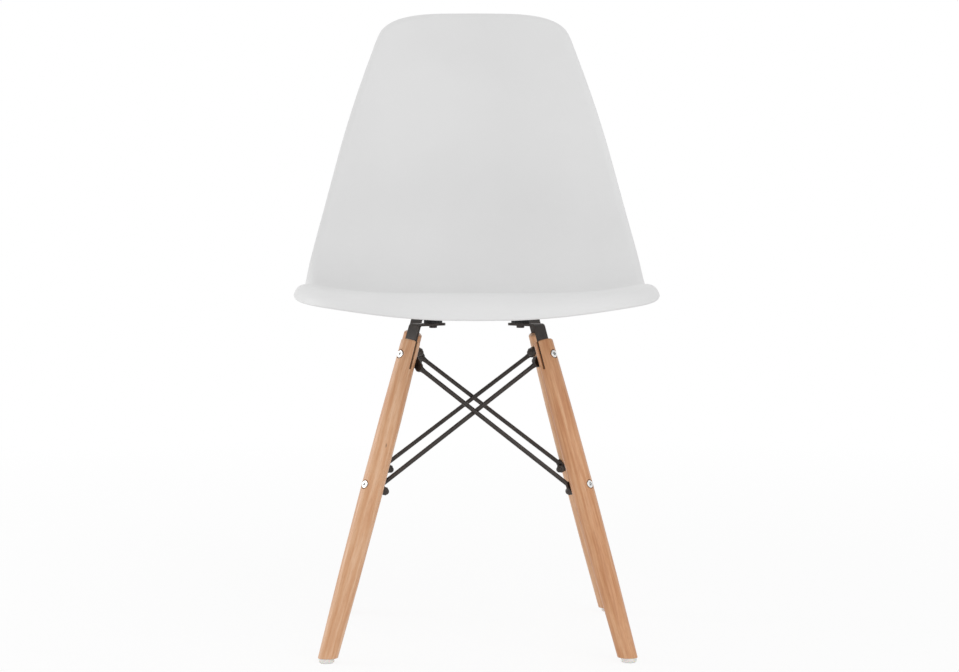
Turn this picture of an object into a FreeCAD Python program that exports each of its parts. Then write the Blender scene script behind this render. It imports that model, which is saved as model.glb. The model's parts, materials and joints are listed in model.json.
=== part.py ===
import FreeCAD, Part
import Sketcher
import math
import os

from FreeCAD import Placement, Rotation, Vector

# A dining chair: a one-piece moulded shell on four splayed beech legs.
# Millimetres. +Z is up, -Y is the front, and left and right are as seen from the front.
# The origin is at the middle of the footprint of the whole chair, on the floor.

DRIVING_SIZES = [
    # whole chair
    ("overall_height", 820.0, "floor to the top of the back"),
    ("overall_depth", 524.0, "front lip to the top of the back"),
    ("base_forward", 30.0, "middle of the four feet, in front of the middle of the depth"),
    # moulded shell
    ("skin", 5.0, "wall of the shell"),
    ("edge_bevel", 1.2, "bevel along the edge of the wall"),
    ("crest_height", 447.0, "front crest of the seat"),
    ("crest_run", 42.0, "front edge to crest, before the lip is rolled"),
    ("pan_height", 427.0, "lowest point of the seat"),
    ("pan_back", 58.0, "lowest point of the seat, behind the middle of the depth"),
    ("curve_radius", 120.0, "bend between seat and back"),
    ("back_lean", 15.5, "lean of the lower back, degrees"),
    ("sway", 7.0, "how far the back bows forward of a straight line"),
    ("half_width_front", 222.0, "half width near the front edge"),
    ("half_width_seat", 228.0, "half width at the widest place"),
    ("half_width_waist", 222.0, "half width where the seat turns into the back"),
    ("half_width_back", 195.0, "half width at mid back"),
    ("half_width_top", 118.5, "half width at the top, before its corners"),
    ("seat_rise", 23.0, "how far the sides stand above the seat"),
    ("back_rise", 30.0, "how far the sides stand in front of the lower back"),
    ("top_rise", 9.0, "how far the sides stand in front of the top"),
    ("lip_roll", 36.0, "radius of the rolled front lip"),
    ("side_roll", 18.0, "radius of the rolled seat side"),
    ("back_roll", 20.0, "radius of the rolled edge of the back"),
    ("seat_turn", 80.0, "how far the edge of the seat is rolled, degrees"),
    ("back_turn", 30.0, "how far the edge of the back is rolled, degrees"),
    ("front_corner", 175.0, "length of the rounded front corners"),
    ("top_corner", 44.0, "length of the rounded top corners"),
    ("boss_radius", 12.5, "round boss under the seat"),
    ("boss_floor", 412.0, "underside of the bosses"),
    ("boss_hole", 6.2, "blind screw hole in a boss"),
    ("boss_hole_depth", 10.0, "depth of the screw hole"),
    # where the legs stand
    ("foot_x", 183.0, "middle of a foot, from the middle line"),
    ("foot_y", 184.0, "middle of a foot, in front of or behind the middle of the feet"),
    ("leg_lean", 19.06, "lean of a leg from upright, degrees"),
    ("leg_bearing", 40.42, "way a leg leans, from straight sideways, degrees"),
    # turned leg, measured along its own axis from the floor
    ("leg_top", 407.3, "top of the leg"),
    ("leg_radius_foot", 11.7, "leg radius at the foot"),
    ("leg_radius_middle", 13.95, "leg radius half way up"),
    ("leg_radius_top", 12.0, "leg radius at the top"),
    ("leg_bevel", 1.5, "bevel round the top of the leg"),
    ("slot_width", 3.2, "sawn slot for the steel angle"),
    ("slot_floor", 371.3, "bottom of the slot"),
    ("upper_bolt", 387.2, "upper bolt"),
    ("lower_bolt", 220.1, "lower bolt"),
    ("bolt_hole", 6.4, "bolt hole"),
    ("bore_width", 12.0, "sunk seat of a bolt head"),
    ("bore_depth", 3.2, "depth of the sunk seat"),
    # glide under the foot
    ("glide_radius", 9.5, "glide"),
    ("glide_height", 6.0, "height of the glide"),
    ("glide_bevel", 1.5, "bevel under the glide"),
    # steel angle between leg and seat
    ("bar_width", 20.0, "flat bar"),
    ("bar_wall", 3.0, "wall of the flat bar"),
    ("tab_height", 403.0, "underside of the tab"),
    ("tab_screw", 168.8, "from the foot inwards to the seat screw"),
    ("tab_end", 185.4, "from the foot inwards to the end of the tab"),
    ("bend_radius", 2.0, "inner radius of the bend"),
    # rubber pad
    ("pad_radius", 11.5, "pad"),
    ("pad_hole", 7.0, "hole in the pad"),
    # steel brace rods
    ("rod_radius", 2.8, "rod"),
    ("flat_wall", 2.5, "wall of the flattened end"),
    ("flat_width", 11.0, "width of the flattened end"),
    ("flat_gap", 0.1, "clearance between the flattened end and the leg"),
    ("outer_upper_out", 12.2, "outer rod, upper bend, outwards from its bolt"),
    ("outer_upper_step", 9.7, "outer rod, upper bend, below its bolt"),
    ("outer_lower_out", 4.0, "outer rod, lower bend, outwards from its bolt"),
    ("outer_lower_step", 5.6, "outer rod, lower bend, above its bolt"),
    ("inner_upper_out", 5.5, "inner rod, upper bend, outwards from its bolt"),
    ("inner_upper_step", 4.0, "inner rod, upper bend, below its bolt"),
    ("inner_lower_out", -6.0, "inner rod, lower bend, outwards from its bolt"),
    ("inner_lower_step", 4.4, "inner rod, lower bend, above its bolt"),
]

CORNERS = {
    "front_left": (-1, -1),
    "front_right": (1, -1),
    "rear_left": (-1, 1),
    "rear_right": (1, 1),
}


class Size:
    """A size with its value in millimetres and its formula in terms of the sheet."""

    def __init__(self, value, formula):
        self.value = float(value)
        self.formula = formula

    @staticmethod
    def of(other):
        """The other operand as a size, where it is a plain number."""
        return other if isinstance(other, Size) else Size(other, "%g" % other)

    def __add__(self, other):
        other = Size.of(other)
        return Size(self.value + other.value, "(%s + %s)" % (self.formula, other.formula))

    def __sub__(self, other):
        other = Size.of(other)
        return Size(self.value - other.value, "(%s - %s)" % (self.formula, other.formula))

    def __mul__(self, other):
        other = Size.of(other)
        return Size(self.value * other.value, "(%s * %s)" % (self.formula, other.formula))

    def __truediv__(self, other):
        other = Size.of(other)
        return Size(self.value / other.value, "(%s / %s)" % (self.formula, other.formula))

    def __neg__(self):
        return Size(-self.value, "(-%s)" % self.formula)


ZERO = Size(0, "0")


def sine(angle):
    """The sine of an angle kept in degrees."""
    return Size(math.sin(math.radians(angle.value)), "sin(%s)" % angle.formula)


def cosine(angle):
    """The cosine of an angle kept in degrees."""
    return Size(math.cos(math.radians(angle.value)), "cos(%s)" % angle.formula)


def make_sheet(doc):
    """Write the driving sizes into a spreadsheet and return them by name."""
    sheet = doc.addObject("Spreadsheet::Sheet", "sizes")
    for row, (name, value, meaning) in enumerate(DRIVING_SIZES, start=1):
        sheet.set("A%d" % row, name)
        sheet.set("B%d" % row, "%g" % value)
        sheet.set("C%d" % row, meaning)
        sheet.setAlias("B%d" % row, name)
    doc.recompute()
    return {name: Size(sheet.get(name), "sizes.%s" % name) for name, value, meaning in DRIVING_SIZES}


class ShellForm:
    """The seat and back as one skin, drawn on a flat pattern and bent to shape.

    A place on the pattern is (across, along): across from the middle line, and
    along it from the front edge. The middle line, the half width, the rise of
    the sides and the roll of the edge are smooth curves through a few sizes.
    One half is made, and the other is its mirror image.
    """

    ROWS = 12
    CROWD = 0.75
    FRONT_FAN = 0.5
    TOP_FAN = 2.0
    PULL = 0.3
    STEP_LENGTH = 30
    STEP_TURN = 60
    FRONT_POWER = 2.5
    TOP_POWER = 3.0

    def __init__(self, size):
        self.size = size
        self.laws = self.width_curve()
        self.top_shift = Vector(0, 0, 0)
        self.front_shift = 0.0
        for attempt in range(3):
            self.middle = self.middle_curve()
            self.length = self.middle.length()
            self.solid = self.wall()
            self.fit_overall_size()

    def fit_overall_size(self):
        """Shift the ends of the middle line by what the rolled edge takes or adds."""
        box = self.solid.BoundBox
        half_depth = self.size["overall_depth"] / 2
        self.top_shift += Vector(0, half_depth - box.YMax, self.size["overall_height"] - box.ZMax)
        self.front_shift -= half_depth + box.YMin

    def middle_curve(self):
        """The sitter side of the shell along the middle, in the YZ plane."""
        size = self.size
        front = -size["overall_depth"] / 2 + self.front_shift
        crest_y = front + size["crest_run"]
        radius = size["curve_radius"]
        lean = math.radians(size["back_lean"])
        dip = size["crest_height"] - size["pan_height"]
        points = [
            Vector(0, front, size["crest_height"]),
            Vector(0, crest_y, size["crest_height"]),
            Vector(0, (crest_y + size["pan_back"]) / 2, size["pan_height"] + dip / 2.4),
            Vector(0, size["pan_back"], size["pan_height"]),
        ]
        for share in (0.35, 0.7, 1.0):
            turn = share * (math.pi / 2 - lean)
            points.append(Vector(0, size["pan_back"] + radius * math.sin(turn),
                                 size["pan_height"] + radius * (1 - math.cos(turn))))
        low = points[-1]
        high = Vector(0, size["overall_depth"] / 2, size["overall_height"]) + self.top_shift
        for share in (0.33, 0.66, 1.0):
            bow = size["sway"] * math.sin(math.pi * share)
            points.append(low + (high - low) * share - Vector(0, bow, 0))
        curve = Part.BSplineCurve()
        curve.interpolate(points)
        return curve

    def width_curve(self):
        """Half width, rise and roll radius against the share of the length."""
        size = self.size
        seat, waist = size["half_width_seat"], size["half_width_waist"]
        back, top = size["half_width_back"], size["half_width_top"]
        rise_seat, rise_back, rise_top = size["seat_rise"], size["back_rise"], size["top_rise"]
        lip, side, edge = size["lip_roll"], size["side_roll"], size["back_roll"]
        stations = [
            (0.00, size["half_width_front"], 0.0, lip),
            (0.04, 0.3 * size["half_width_front"] + 0.7 * seat, 0.02 * rise_seat, 0.35 * lip + 0.65 * side),
            (0.12, seat, 0.35 * rise_seat, 0.1 * lip + 0.9 * side),
            (0.24, seat, rise_seat, side),
            (0.38, 0.5 * (seat + waist), 1.15 * rise_seat, 0.8 * side + 0.2 * edge),
            (0.50, waist, rise_back, 0.3 * side + 0.7 * edge),
            (0.68, back, 0.8 * rise_back + 0.2 * rise_top, edge),
            (0.85, 0.52 * back + 0.48 * top, 0.3 * rise_back + 0.7 * rise_top, edge),
            (1.00, top, rise_top, edge),
        ]
        curve = Part.BSplineCurve()
        curve.interpolate(Points=[Vector(width, rise, roll) for share, width, rise, roll in stations],
                          Parameters=[share for share, width, rise, roll in stations])
        return curve

    def half_width(self, along):
        """Half width of the pattern, with its rounded front and top corners."""
        size = self.size
        width = self.laws.value(along / self.length).x
        into_front = 1 - along / size["front_corner"]
        if into_front > 0:
            power = self.FRONT_POWER
            return width * max(1 - into_front ** power, 0.0) ** (1 / power)
        into_top = 1 - (self.length - along) / size["top_corner"]
        if into_top > 0:
            power = self.TOP_POWER
            return width * max(1 - into_top ** power, 0.0) ** (1 / power)
        return width

    def outline(self):
        """Places round one half of the pattern, and which way is inward at each.

        They run from the front middle to the top middle, closer where the edge turns.
        """
        fine = 1200
        side = []
        for step in range(fine + 1):
            along = self.length * (1 - math.cos(math.pi * step / fine)) / 2
            side.append((self.half_width(along), along))
        headings = [math.atan2(after[1] - before[1], after[0] - before[0])
                    for before, after in zip(side, side[1:])]
        run = [0.0]
        for index, (before, after) in enumerate(zip(side, side[1:])):
            step = math.hypot(after[0] - before[0], after[1] - before[1]) / self.STEP_LENGTH
            turn = abs(headings[index] - headings[index - 1]) if index else 0.0
            run.append(run[-1] + step + math.degrees(turn) / self.STEP_TURN)
        count = round(run[-1])
        result = []
        index = 0
        for step in range(count + 1):
            wanted = run[-1] * step / count
            while index < fine - 1 and run[index + 1] < wanted:
                index += 1
            part = (wanted - run[index]) / (run[index + 1] - run[index])
            before, after = side[index], side[index + 1]
            place = tuple(b + (a - b) * part for b, a in zip(before, after))
            result.append((place, headings[index] + math.pi / 2))
        result[0] = ((0.0, 0.0), math.pi / 2)
        result[-1] = ((0.0, self.length), -math.pi / 2)
        return [(place, (math.cos(heading), math.sin(heading))) for place, heading in result]

    def place(self, across, along, drop):
        """The point in space for a place on the pattern, sunk by drop along the normal."""
        share = along / self.length
        width, rise, roll = self.laws.value(share)
        where = self.middle.parameterAtDistance(along)
        ahead = self.middle.tangent(where)[0]
        normal = Vector(0, -ahead.z, ahead.y)
        lift = rise * (across / width) ** 2
        return self.middle.value(where) + Vector(across, 0, 0) + normal * (lift - drop)

    def path(self, edge, inward):
        """A way over the pattern from the middle line to one place on its edge.

        Returns the flat part as (place, distance) pairs, the brink, and the roll's radius and turn.
        """
        size = self.size
        share = edge[1] / self.length
        roll = self.laws.value(share).z
        blend = min(max((share - 0.3) / 0.25, 0.0), 1.0)
        turn = math.radians(size["seat_turn"] + blend * (size["back_turn"] - size["seat_turn"]))
        out = roll * math.sin(turn)
        brink = (edge[0] + inward[0] * out, edge[1] + inward[1] * out)
        low = size["front_corner"] * self.FRONT_FAN
        high = self.length - size["top_corner"] * self.TOP_FAN
        start = (0.0, low + (high - low) * share)
        pull = self.PULL * math.hypot(start[0] - brink[0], start[1] - brink[1])
        bend = (brink[0] + inward[0] * pull, brink[1] + inward[1] * pull)
        flat = [(start, 0.0)]
        for step in range(1, 25):
            part = step / 24
            place = tuple((1 - part) ** 2 * s + 2 * part * (1 - part) * m + part ** 2 * e
                          for s, m, e in zip(start, bend, brink))
            before, far = flat[-1]
            flat.append((place, far + math.hypot(place[0] - before[0], place[1] - before[1])))
        return flat, brink, roll, turn

    def lines(self):
        """For each place round the edge, a line from the middle of the shell to its rim."""
        result = []
        for edge, inward in self.outline():
            flat, brink, roll, turn = self.path(edge, inward)
            level = flat[-1][1]
            whole = level + roll * turn
            row = []
            for step in range(self.ROWS + 1):
                part = step / self.ROWS
                far = whole * (self.CROWD * math.sin(math.pi * part / 2) + (1 - self.CROWD) * part)
                if far <= level:
                    index = next(i for i, pair in enumerate(flat) if pair[1] >= far - 1e-9)
                    after, after_far = flat[index]
                    before, before_far = flat[max(index - 1, 0)]
                    span = max(after_far - before_far, 1e-9)
                    place = tuple(b + (a - b) * (far - before_far) / span for b, a in zip(before, after))
                    row.append(self.place(place[0], place[1], 0.0))
                else:
                    angle = (far - level) / roll
                    reach = roll * math.sin(angle)
                    row.append(self.place(brink[0] - inward[0] * reach, brink[1] - inward[1] * reach,
                                          roll * (1 - math.cos(angle))))
            result.append(row)
        return result

    def wall(self):
        """The closed wall: sitter side, rear side and the bevelled edge between them."""
        size = self.size
        front_rows = self.lines()
        front = self.poles_through(front_rows)
        rear = self.poles_through(self.rear_rows(front_rows, self.surface(front)))
        bevel = size["edge_bevel"]
        rims = [[], [], [], []]
        for front_row, rear_row in zip(front, rear):
            across = (rear_row[-1] - front_row[-1]).normalize()
            out = (front_row[-1] - front_row[-2]).normalize() * bevel
            rims[0].append(front_row[-1])
            rims[1].append(front_row[-1] + out + across * bevel)
            rims[2].append(rear_row[-1] + out - across * bevel)
            rims[3].append(rear_row[-1])
        faces = [self.surface(front), self.surface(rear)]
        faces += [self.ruled(before, after) for before, after in zip(rims, rims[1:])]
        half = [face.toShape() for face in faces]
        other = [face.mirror(Vector(0, 0, 0), Vector(1, 0, 0)) for face in half]
        shell = Part.Shell(half + other)
        shell.sewShape()
        solid = Part.Solid(shell)
        if solid.Volume < 0:
            solid.reverse()
        return solid

    def rear_rows(self, rows, face):
        """The rows of the rear side, one wall thickness behind those of the sitter side."""
        skin = self.size["skin"]
        result = []
        for i, row in enumerate(rows):
            rear_row = []
            for j, point in enumerate(row):
                if j == 0:
                    before, after = rows[max(i - 1, 0)][0], rows[min(i + 1, len(rows) - 1)][0]
                    ahead = (after - before).normalize()
                    normal = Vector(0, ahead.z, -ahead.y)
                else:
                    normal = face.normal(self.parameter(i, len(rows)), self.parameter(j, len(row)))
                if i in (0, len(rows) - 1):
                    normal.x = 0.0
                    normal.normalize()
                rear_row.append(point + normal * skin)
            result.append(rear_row)
        return result

    def poles_through(self, rows):
        """Poles of a smooth surface that passes through the points of the rows."""
        poles = [list(row) for row in rows]
        rims, depths = len(rows), len(rows[0])
        for attempt in range(14):
            surface = self.surface(poles)
            for i, row in enumerate(rows):
                for j, point in enumerate(row):
                    poles[i][j] += point - surface.value(self.parameter(i, rims), self.parameter(j, depths))
        for i in range(rims):
            poles[i][0].x = 0.0
        for j in range(depths):
            poles[0][j].x = 0.0
            poles[-1][j].x = 0.0
        self.level_middle(poles)
        return poles

    @staticmethod
    def level_middle(poles):
        """Make the surface cross the middle plane squarely, so that both halves meet smoothly."""
        rows = len(poles)
        for i in range(1, rows - 1):
            ahead = (poles[i + 1][0] - poles[i - 1][0]).normalize()
            normal = Vector(0, -ahead.z, ahead.y)
            step = poles[i][1] - poles[i][0]
            poles[i][1] -= normal * step.dot(normal)
        for end, inner in ((0, 1), (rows - 1, rows - 2)):
            for j in range(1, len(poles[0])):
                ahead = poles[end][min(j + 1, len(poles[0]) - 1)] - poles[end][j - 1]
                ahead.normalize()
                normal = Vector(0, -ahead.z, ahead.y)
                step = poles[inner][j] - poles[end][j]
                poles[inner][j] -= normal * step.dot(normal)

    @staticmethod
    def parameter(j, count):
        """The parameter at which a surface lies nearest to pole j of count poles."""
        last = count - 3
        knots = [min(max(k - 3, 0), last) for k in range(count + 4)]
        return sum(knots[j + 1:j + 4]) / 3

    @staticmethod
    def surface(poles):
        """A cubic surface, clamped at its four sides."""
        rims, depths = len(poles) - 4, len(poles[0]) - 4
        surface = Part.BSplineSurface()
        surface.buildFromPolesMultsKnots(
            poles, [4] + [1] * rims + [4], [4] + [1] * depths + [4],
            list(range(rims + 2)), list(range(depths + 2)), False, False, 3, 3)
        return surface

    @staticmethod
    def ruled(before, after):
        """A narrow strip, straight across, between two lines of poles round the rim."""
        rims = len(before) - 4
        surface = Part.BSplineSurface()
        surface.buildFromPolesMultsKnots(
            [[b, a] for b, a in zip(before, after)], [4] + [1] * rims + [4], [2, 2],
            list(range(rims + 2)), [0, 1], False, False, 3, 1)
        return surface


class Stance:
    """Where each leg stands and how it leans.

    A corner frame has its origin under the foot, on the floor, with X pointing
    outwards and Z up. A leg frame has the same origin, Z along the leg and X
    pointing outwards, square to the leg.
    """

    def __init__(self, size):
        self.size = size
        self.swell = size["leg_radius_middle"] - (size["leg_radius_foot"] + size["leg_radius_top"]) / 2

    def corner(self, name):
        """Placement of the corner frame."""
        size = self.size
        side, end = CORNERS[name]
        bearing = math.radians(size["leg_bearing"].value)
        heading = math.degrees(math.atan2(math.sin(bearing) * end, math.cos(bearing) * side))
        where = Vector(size["foot_x"].value * side, size["foot_y"].value * end - size["base_forward"].value, 0)
        return Placement(where, Rotation(Vector(0, 0, 1), heading))

    def leg(self, name):
        """Placement of the leg frame."""
        lean = Placement(Vector(0, 0, 0), Rotation(Vector(0, 1, 0), -self.size["leg_lean"].value))
        return self.corner(name).multiply(lean)

    def bolt(self, name, height):
        """Placement of a bolt: origin on the leg's axis, Z outwards along the bolt."""
        return self.leg(name).multiply(Placement(Vector(0, 0, height.value), Rotation(Vector(0, 1, 0), 90)))

    def screw(self, name, height):
        """Placement of what is stacked under a seat screw's boss, at a height from the floor."""
        where = Vector(-self.size["tab_screw"].value, 0, height.value)
        return self.corner(name).multiply(Placement(where, Rotation()))

    def leg_radius(self, height):
        """Radius of the leg at a height along its own axis."""
        size = self.size
        share = height / size["leg_top"]
        rest = (size["leg_top"] - height) / size["leg_top"]
        straight = size["leg_radius_foot"] * rest + size["leg_radius_top"] * share
        return straight + self.swell * share * rest * 4


class PieceMaker:
    """Adds the pieces to the document, with their sizes bound to the sheet."""

    def __init__(self, doc, size):
        self.doc = doc
        self.size = size
        self.stance = Stance(size)
        self.pieces = []

    def keep(self, piece, label, placement):
        """Name a finished piece and put it in its place."""
        piece.Label = label
        piece.Placement = placement
        self.pieces.append(piece)

    def body(self, label):
        """A new body, whose internal name follows its label."""
        return self.doc.addObject("PartDesign::Body", "body_" + label)

    @staticmethod
    def sketch(body, plane, lift=None):
        """A sketch on one of the body's own origin planes, lifted off it by lift."""
        sketch = body.newObject("Sketcher::SketchObject", "outline")
        origin = next(f for f in body.Origin.OriginFeatures if f.Role == plane)
        sketch.AttachmentSupport = (origin, [""])
        sketch.MapMode = "FlatFace"
        if lift is not None:
            sketch.AttachmentOffset = Placement(Vector(0, 0, lift.value), Rotation())
            sketch.setExpression("AttachmentOffset.Base.z", lift.formula)
        return sketch

    @staticmethod
    def hold(sketch, line, end, across, along):
        """Hold one end of a sketch line at a place given by two sizes."""
        for kind, axis, amount in (("DistanceX", -2, across), ("DistanceY", -1, along)):
            if abs(amount.value) < 1e-9:
                sketch.addConstraint(Sketcher.Constraint("PointOnObject", line, end, axis))
            else:
                index = sketch.addConstraint(Sketcher.Constraint(kind, -1, 1, line, end, amount.value))
                sketch.setExpression("Constraints[%d]" % index, amount.formula)

    def polygon(self, sketch, corners):
        """A closed outline through corners, each an (across, along) pair of sizes."""
        points = [Vector(across.value, along.value, 0) for across, along in corners]
        lines = [sketch.addGeometry(Part.LineSegment(points[i - 1], points[i]), False)
                 for i in range(len(points))]
        for i, line in enumerate(lines):
            following = lines[(i + 1) % len(lines)]
            sketch.addConstraint(Sketcher.Constraint("Coincident", line, 2, following, 1))
            self.hold(sketch, line, 2, *corners[i])

    def circle(self, sketch, across, along, diameter):
        """A circle with its centre given by two sizes."""
        centre = Vector(across.value, along.value, 0)
        ring = sketch.addGeometry(Part.Circle(centre, Vector(0, 0, 1), diameter.value / 2), False)
        self.hold(sketch, ring, 3, across, along)
        index = sketch.addConstraint(Sketcher.Constraint("Diameter", ring, diameter.value))
        sketch.setExpression("Constraints[%d]" % index, diameter.formula)

    def revolve(self, body, corners):
        """A solid turned round Z from an outline in the XZ plane."""
        sketch = self.sketch(body, "XZ_Plane")
        self.polygon(sketch, corners)
        self.turn(body, sketch)

    @staticmethod
    def turn(body, sketch):
        """A solid turned round the upright axis of a sketch."""
        turned = body.newObject("PartDesign::Revolution", "turning")
        turned.Profile = sketch
        turned.ReferenceAxis = (sketch, ["V_Axis"])
        turned.Angle = 360

    def cut(self, body, sketch, both=False, outwards=False, depth=None):
        """A pocket from a sketch, through everything unless it has a depth."""
        self.doc.recompute()
        before = body.Shape.Volume
        pocket = body.newObject("PartDesign::Pocket", "pocket")
        pocket.Profile = sketch
        pocket.Type = "ThroughAll"
        pocket.Midplane = both
        pocket.Reversed = outwards
        if depth is not None:
            pocket.Type = "Length"
            pocket.Length = depth.value
            pocket.setExpression("Length", depth.formula)
        self.doc.recompute()
        if not body.Shape.Volume < before - 0.01:
            raise RuntimeError("a pocket of %s cuts nothing" % body.Name)

    def shell(self):
        """The moulded seat and back, with a bored boss over each leg's tab."""
        plain = {name: value.value for name, value in self.size.items()}
        solid = ShellForm(plain).solid
        for name in CORNERS:
            floor = self.stance.screw(name, self.size["boss_floor"]).Base
            upright = Part.makeLine(floor, floor + Vector(0, 0, 60))
            wall = solid.common(upright).BoundBox
            reach = (wall.ZMin + wall.ZMax) / 2 - floor.z
            boss = Part.makeCylinder(plain["boss_radius"], reach, floor)
            hole = Part.makeCylinder(plain["boss_hole"] / 2, plain["boss_hole_depth"], floor)
            solid = solid.fuse(boss).cut(hole).Solids[0]
        piece = self.doc.addObject("Part::Feature", "moulded_shell")
        piece.Shape = solid
        self.keep(piece, "seat_shell", Placement())

    def leg(self, corner):
        """A turned leg: slotted at the top, cut level at the foot, bored for two bolts."""
        size = self.size
        body = self.body("leg_" + corner)
        self.leg_blank(body)
        sketch = self.sketch(body, "XZ_Plane")
        half, over = size["slot_width"] / 2, size["leg_top"] + 5
        self.polygon(sketch, [(half, size["slot_floor"]), (half, over),
                              (-half, over), (-half, size["slot_floor"])])
        self.cut(body, sketch, both=True)
        sketch = self.sketch(body, "XZ_Plane")
        lean, reach = size["leg_lean"], size["leg_radius_middle"] * 1.5
        rise = reach * sine(lean) / cosine(lean)
        level = size["glide_height"] / cosine(lean)
        self.polygon(sketch, [(reach, level - rise), (-reach, level + rise), (-reach, -reach), (reach, -reach)])
        self.cut(body, sketch, both=True)
        sketch = self.sketch(body, "YZ_Plane")
        self.circle(sketch, ZERO, size["upper_bolt"], size["bolt_hole"])
        self.circle(sketch, ZERO, size["lower_bolt"], size["bolt_hole"])
        self.cut(body, sketch, both=True)
        for height in (size["upper_bolt"], size["lower_bolt"]):
            sketch = self.sketch(body, "YZ_Plane", self.bore_floor(height))
            self.circle(sketch, ZERO, height, size["bore_width"])
            self.cut(body, sketch, outwards=True)
        self.keep(body, "leg_" + corner, self.stance.leg(corner))

    def bore_floor(self, height):
        """How far a bolt head's seat lies from the leg's axis."""
        return self.stance.leg_radius(height) - self.size["bore_depth"]

    def leg_blank(self, body):
        """The turned blank: four tapers that follow a slight barrel, and a bevelled top."""
        size, stance = self.size, self.stance
        top, bevel = size["leg_top"], size["leg_bevel"]
        corners = [(ZERO, ZERO), (size["leg_radius_foot"], ZERO)]
        for quarter in (1, 2, 3):
            height = top * (quarter / 4)
            corners.append((stance.leg_radius(height), height))
        crown = size["leg_radius_top"]
        corners += [(crown, top - bevel), (crown - bevel, top), (ZERO, top)]
        self.revolve(body, corners)

    def glide(self, corner):
        """A plain round glide nailed under the foot."""
        size = self.size
        body = self.body("glide_" + corner)
        radius, bevel, height = size["glide_radius"], size["glide_bevel"], size["glide_height"]
        self.revolve(body, [(ZERO, ZERO), (radius - bevel, ZERO), (radius, bevel),
                            (radius, height), (ZERO, height)])
        self.keep(body, "foot_glide_" + corner, self.stance.corner(corner))

    def angle(self, corner):
        """The bent steel bar: its lower half fills the leg's slot, its tab carries the seat."""
        size = self.size
        lean, wall, width = size["leg_lean"], size["bar_wall"], size["bar_width"]
        s, c = sine(lean), cosine(lean)
        half = wall / 2
        low = size["slot_floor"] + 0.3
        under = size["tab_height"]
        top = under + wall
        corners = [
            (-(s * low) - half * c, c * low - half * s),
            (-(s * low) + half * c, c * low + half * s),
            (-(top * s / c) + half / c, top),
            (-size["tab_end"], top),
            (-size["tab_end"], under),
            (-(under * s / c) - half / c, under),
        ]
        body = self.body("angle_" + corner)
        sketch = self.sketch(body, "XZ_Plane")
        self.polygon(sketch, corners)
        bar = body.newObject("PartDesign::Pad", "bar")
        bar.Profile = sketch
        bar.Midplane = True
        bar.Length = width.value
        bar.setExpression("Length", width.formula)
        self.doc.recompute()
        inner = self.round_edges(body, bar, [corners[5]], size["bend_radius"])
        outer = self.round_edges(body, inner, [corners[2]], size["bend_radius"] + wall)
        tip = self.round_edges(body, outer, [(-size["tab_end"], None)], width / 2 - 1)
        sketch = self.sketch(body, "XY_Plane")
        self.circle(sketch, -size["tab_screw"], ZERO, size["pad_hole"])
        self.cut(body, sketch, both=True)
        sketch = self.sketch(body, "YZ_Plane")
        up, back = c * size["upper_bolt"], -(s * size["upper_bolt"])
        sketch.AttachmentOffset = Placement(Vector(0, up.value, back.value), Rotation(Vector(1, 0, 0), -lean.value))
        sketch.setExpression("AttachmentOffset.Base.y", up.formula)
        sketch.setExpression("AttachmentOffset.Base.z", back.formula)
        self.circle(sketch, ZERO, ZERO, size["bolt_hole"])
        self.cut(body, sketch, depth=wall * 4, both=True)
        self.keep(body, "leg_bracket_" + corner, self.stance.corner(corner))

    def round_edges(self, body, feature, places, radius):
        """Round the straight edges that run through the given places of the bar's outline.

        A place with no height stands for the upright edges at that distance.
        """
        names = []
        for number, edge in enumerate(feature.Shape.Edges, start=1):
            ends = [vertex.Point for vertex in edge.Vertexes]
            for across, height in places:
                near = all(abs(end.x - across.value) < 1e-3 for end in ends)
                if height is None:
                    wanted = near and abs(ends[0].y - ends[-1].y) < 1e-3
                else:
                    wanted = near and all(abs(end.z - height.value) < 1e-3 for end in ends)
                if wanted:
                    names.append("Edge%d" % number)
        rounded = body.newObject("PartDesign::Fillet", "rounding")
        rounded.Base = (feature, names)
        rounded.Radius = radius.value
        rounded.setExpression("Radius", radius.formula)
        self.doc.recompute()
        return rounded

    def pad(self, corner):
        """The rubber pad between a tab and its boss."""
        size = self.size
        body = self.body("pad_" + corner)
        hole, radius = size["pad_hole"] / 2, size["pad_radius"]
        low = size["tab_height"] + size["bar_wall"]
        height = size["boss_floor"] - low
        self.revolve(body, [(hole, ZERO), (radius, ZERO), (radius, height), (hole, height)])
        self.keep(body, "rubber_pad_" + corner, self.stance.screw(corner, low))

    def tab_face(self, height):
        """How far the free face of a rod's flattened end lies from the leg's axis."""
        return self.stance.leg_radius(height) + self.size["flat_gap"] + self.size["flat_wall"]

    def rod_end(self, corner, height, out, step):
        """Bolt centre, bend and outward direction of one flattened end, halfway through its wall."""
        side, end = CORNERS[corner]
        leg = self.stance.leg(corner)
        depth = -(self.tab_face(height) - self.size["flat_wall"] / 2)
        across = Vector(depth.value, 0, height.value)
        bend = across + Vector(0, out.value * side * end, step.value)
        return leg.multVec(across), leg.multVec(bend), leg.Rotation.multVec(Vector(1, 0, 0))

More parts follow.
